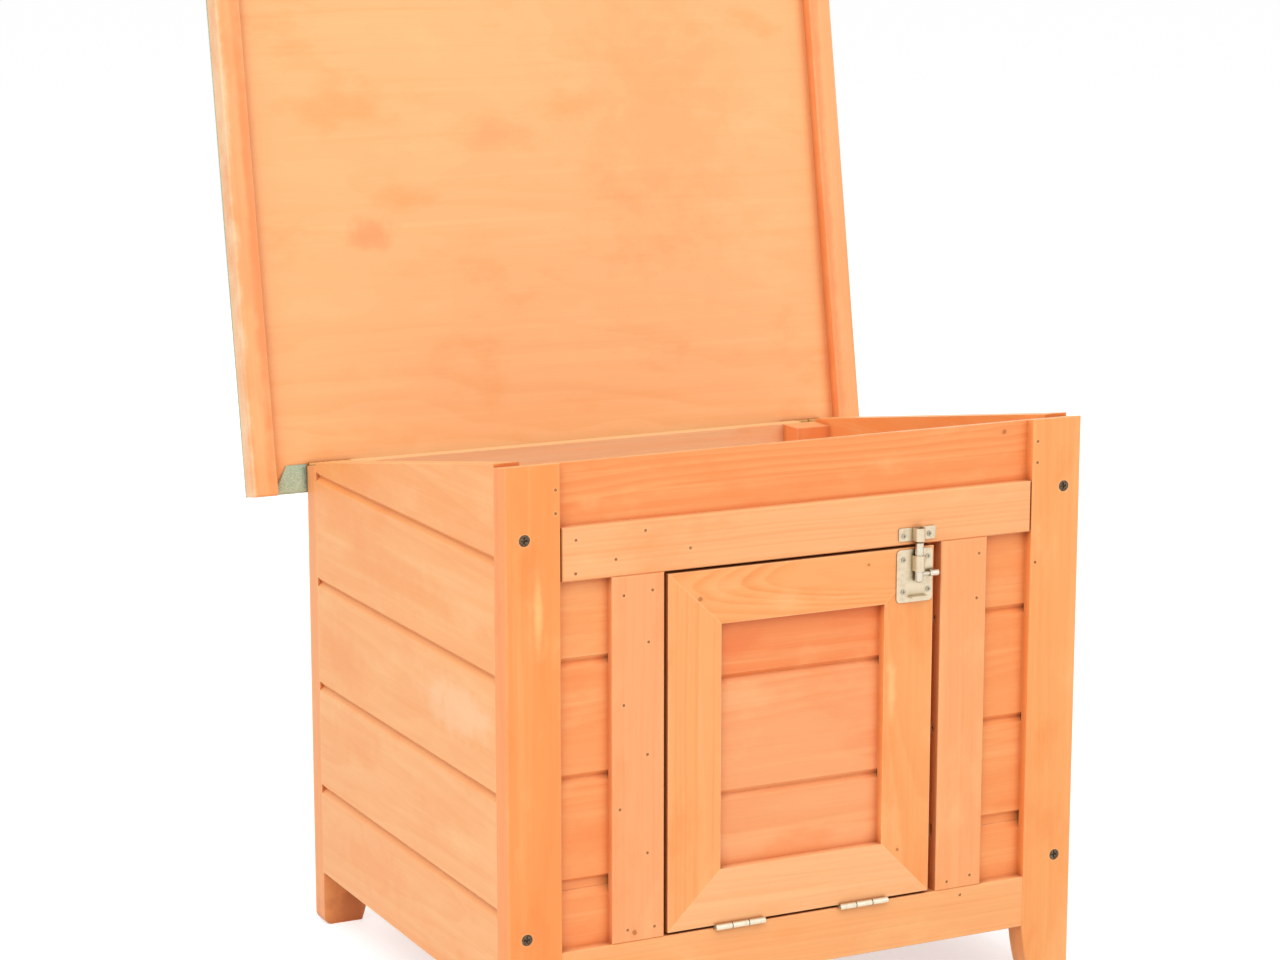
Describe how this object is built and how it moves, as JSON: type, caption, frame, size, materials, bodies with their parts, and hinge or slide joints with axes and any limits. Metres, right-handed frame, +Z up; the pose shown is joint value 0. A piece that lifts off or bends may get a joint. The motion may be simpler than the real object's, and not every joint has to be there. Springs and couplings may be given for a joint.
{
  "type": "cat house",
  "caption": "Small wooden cat house on legs with a sloping felted lid that opens back and a fold-down panelled front door with a barrel bolt.",
  "frame": {"origin": "on the floor, under the middle of the whole object with its lid open", "axes": "+Z up, -Y towards the front with the door, +X to the right as seen from the front"},
  "size_m": [0.5, 0.445, 0.7757],
  "materials": {
    "pine": "satin stained softwood",
    "plywood": "satin stained plywood",
    "felt": "mineral-coated green roofing felt",
    "bolt_metal": "satin zinc plate",
    "hinge_metal": "satin zinc plate",
    "nail_steel": "stained over",
    "dark_screw": "dark oxide"
  },
  "bodies": {
    "house": {"back_board_1": "pine", "back_board_2": "pine", "back_board_3": "pine", "back_board_4": "pine", "bolt_keeper": "bolt_metal", "brads": "nail_steel", "corner_batten_back_left": "pine", "corner_batten_back_right": "pine", "corner_batten_front_left": "pine", "corner_batten_front_right": "pine", "door_hinge_rail_half": "hinge_metal", "door_stop": "pine", "floor_cleats": "pine", "floor_panel": "plywood", "front_batten_left": "pine", "front_batten_right": "pine", "front_batten_top": "pine", "front_board_header": "pine", "front_board_left_1": "pine", "front_board_left_2": "pine", "front_board_left_3": "pine", "front_board_right_1": "pine", "front_board_right_2": "pine", "front_board_right_3": "pine", "front_board_top": "pine", "front_bottom_rail": "pine", "house_small_screws": "bolt_metal", "lid_hinge_wall_half": "hinge_metal", "post_back_left": "pine", "post_back_right": "pine", "post_front_left": "pine", "post_front_right": "pine", "post_screws": "dark_screw", "side_board_left_1": "pine", "side_board_left_2": "pine", "side_board_left_3": "pine", "side_board_left_4": "pine", "side_board_left_5": "pine", "side_board_right_1": "pine", "side_board_right_2": "pine", "side_board_right_3": "pine", "side_board_right_4": "pine", "side_board_right_5": "pine"},
    "lid": {"lid_felt": "felt", "lid_hinge_lid_half": "hinge_metal", "lid_panel": "plywood", "lid_screws": "bolt_metal", "lid_strip_left": "pine", "lid_strip_right": "pine"},
    "door": {"door_board_1": "pine", "door_board_2": "pine", "door_board_3": "pine", "door_hinge_door_half": "hinge_metal", "door_rail_bottom": "pine", "door_rail_top": "pine", "door_small_screws": "bolt_metal", "door_stile_left": "pine", "door_stile_right": "pine", "bolt_plate": "bolt_metal"},
    "bolt": {"bolt_rod": "bolt_metal"}
  },
  "joints": [
    {"name": "lid_hinge", "type": "hinge", "parent": "house", "child": "lid", "pos_m": [0, 0.13676, 0.34036], "axis": [1, 0, 0], "range_deg": [0, 90.29]},
    {"name": "door_hinge", "type": "hinge", "parent": "house", "child": "door", "pos_m": [0, -0.21704, 0.078], "axis": [1, 0, 0], "range_deg": [0, 105]},
    {"name": "bolt_slide", "type": "slide", "parent": "door", "child": "bolt", "axis": [0, 0, 1], "range_m": [-0.009, 0.0065]}
  ]
}
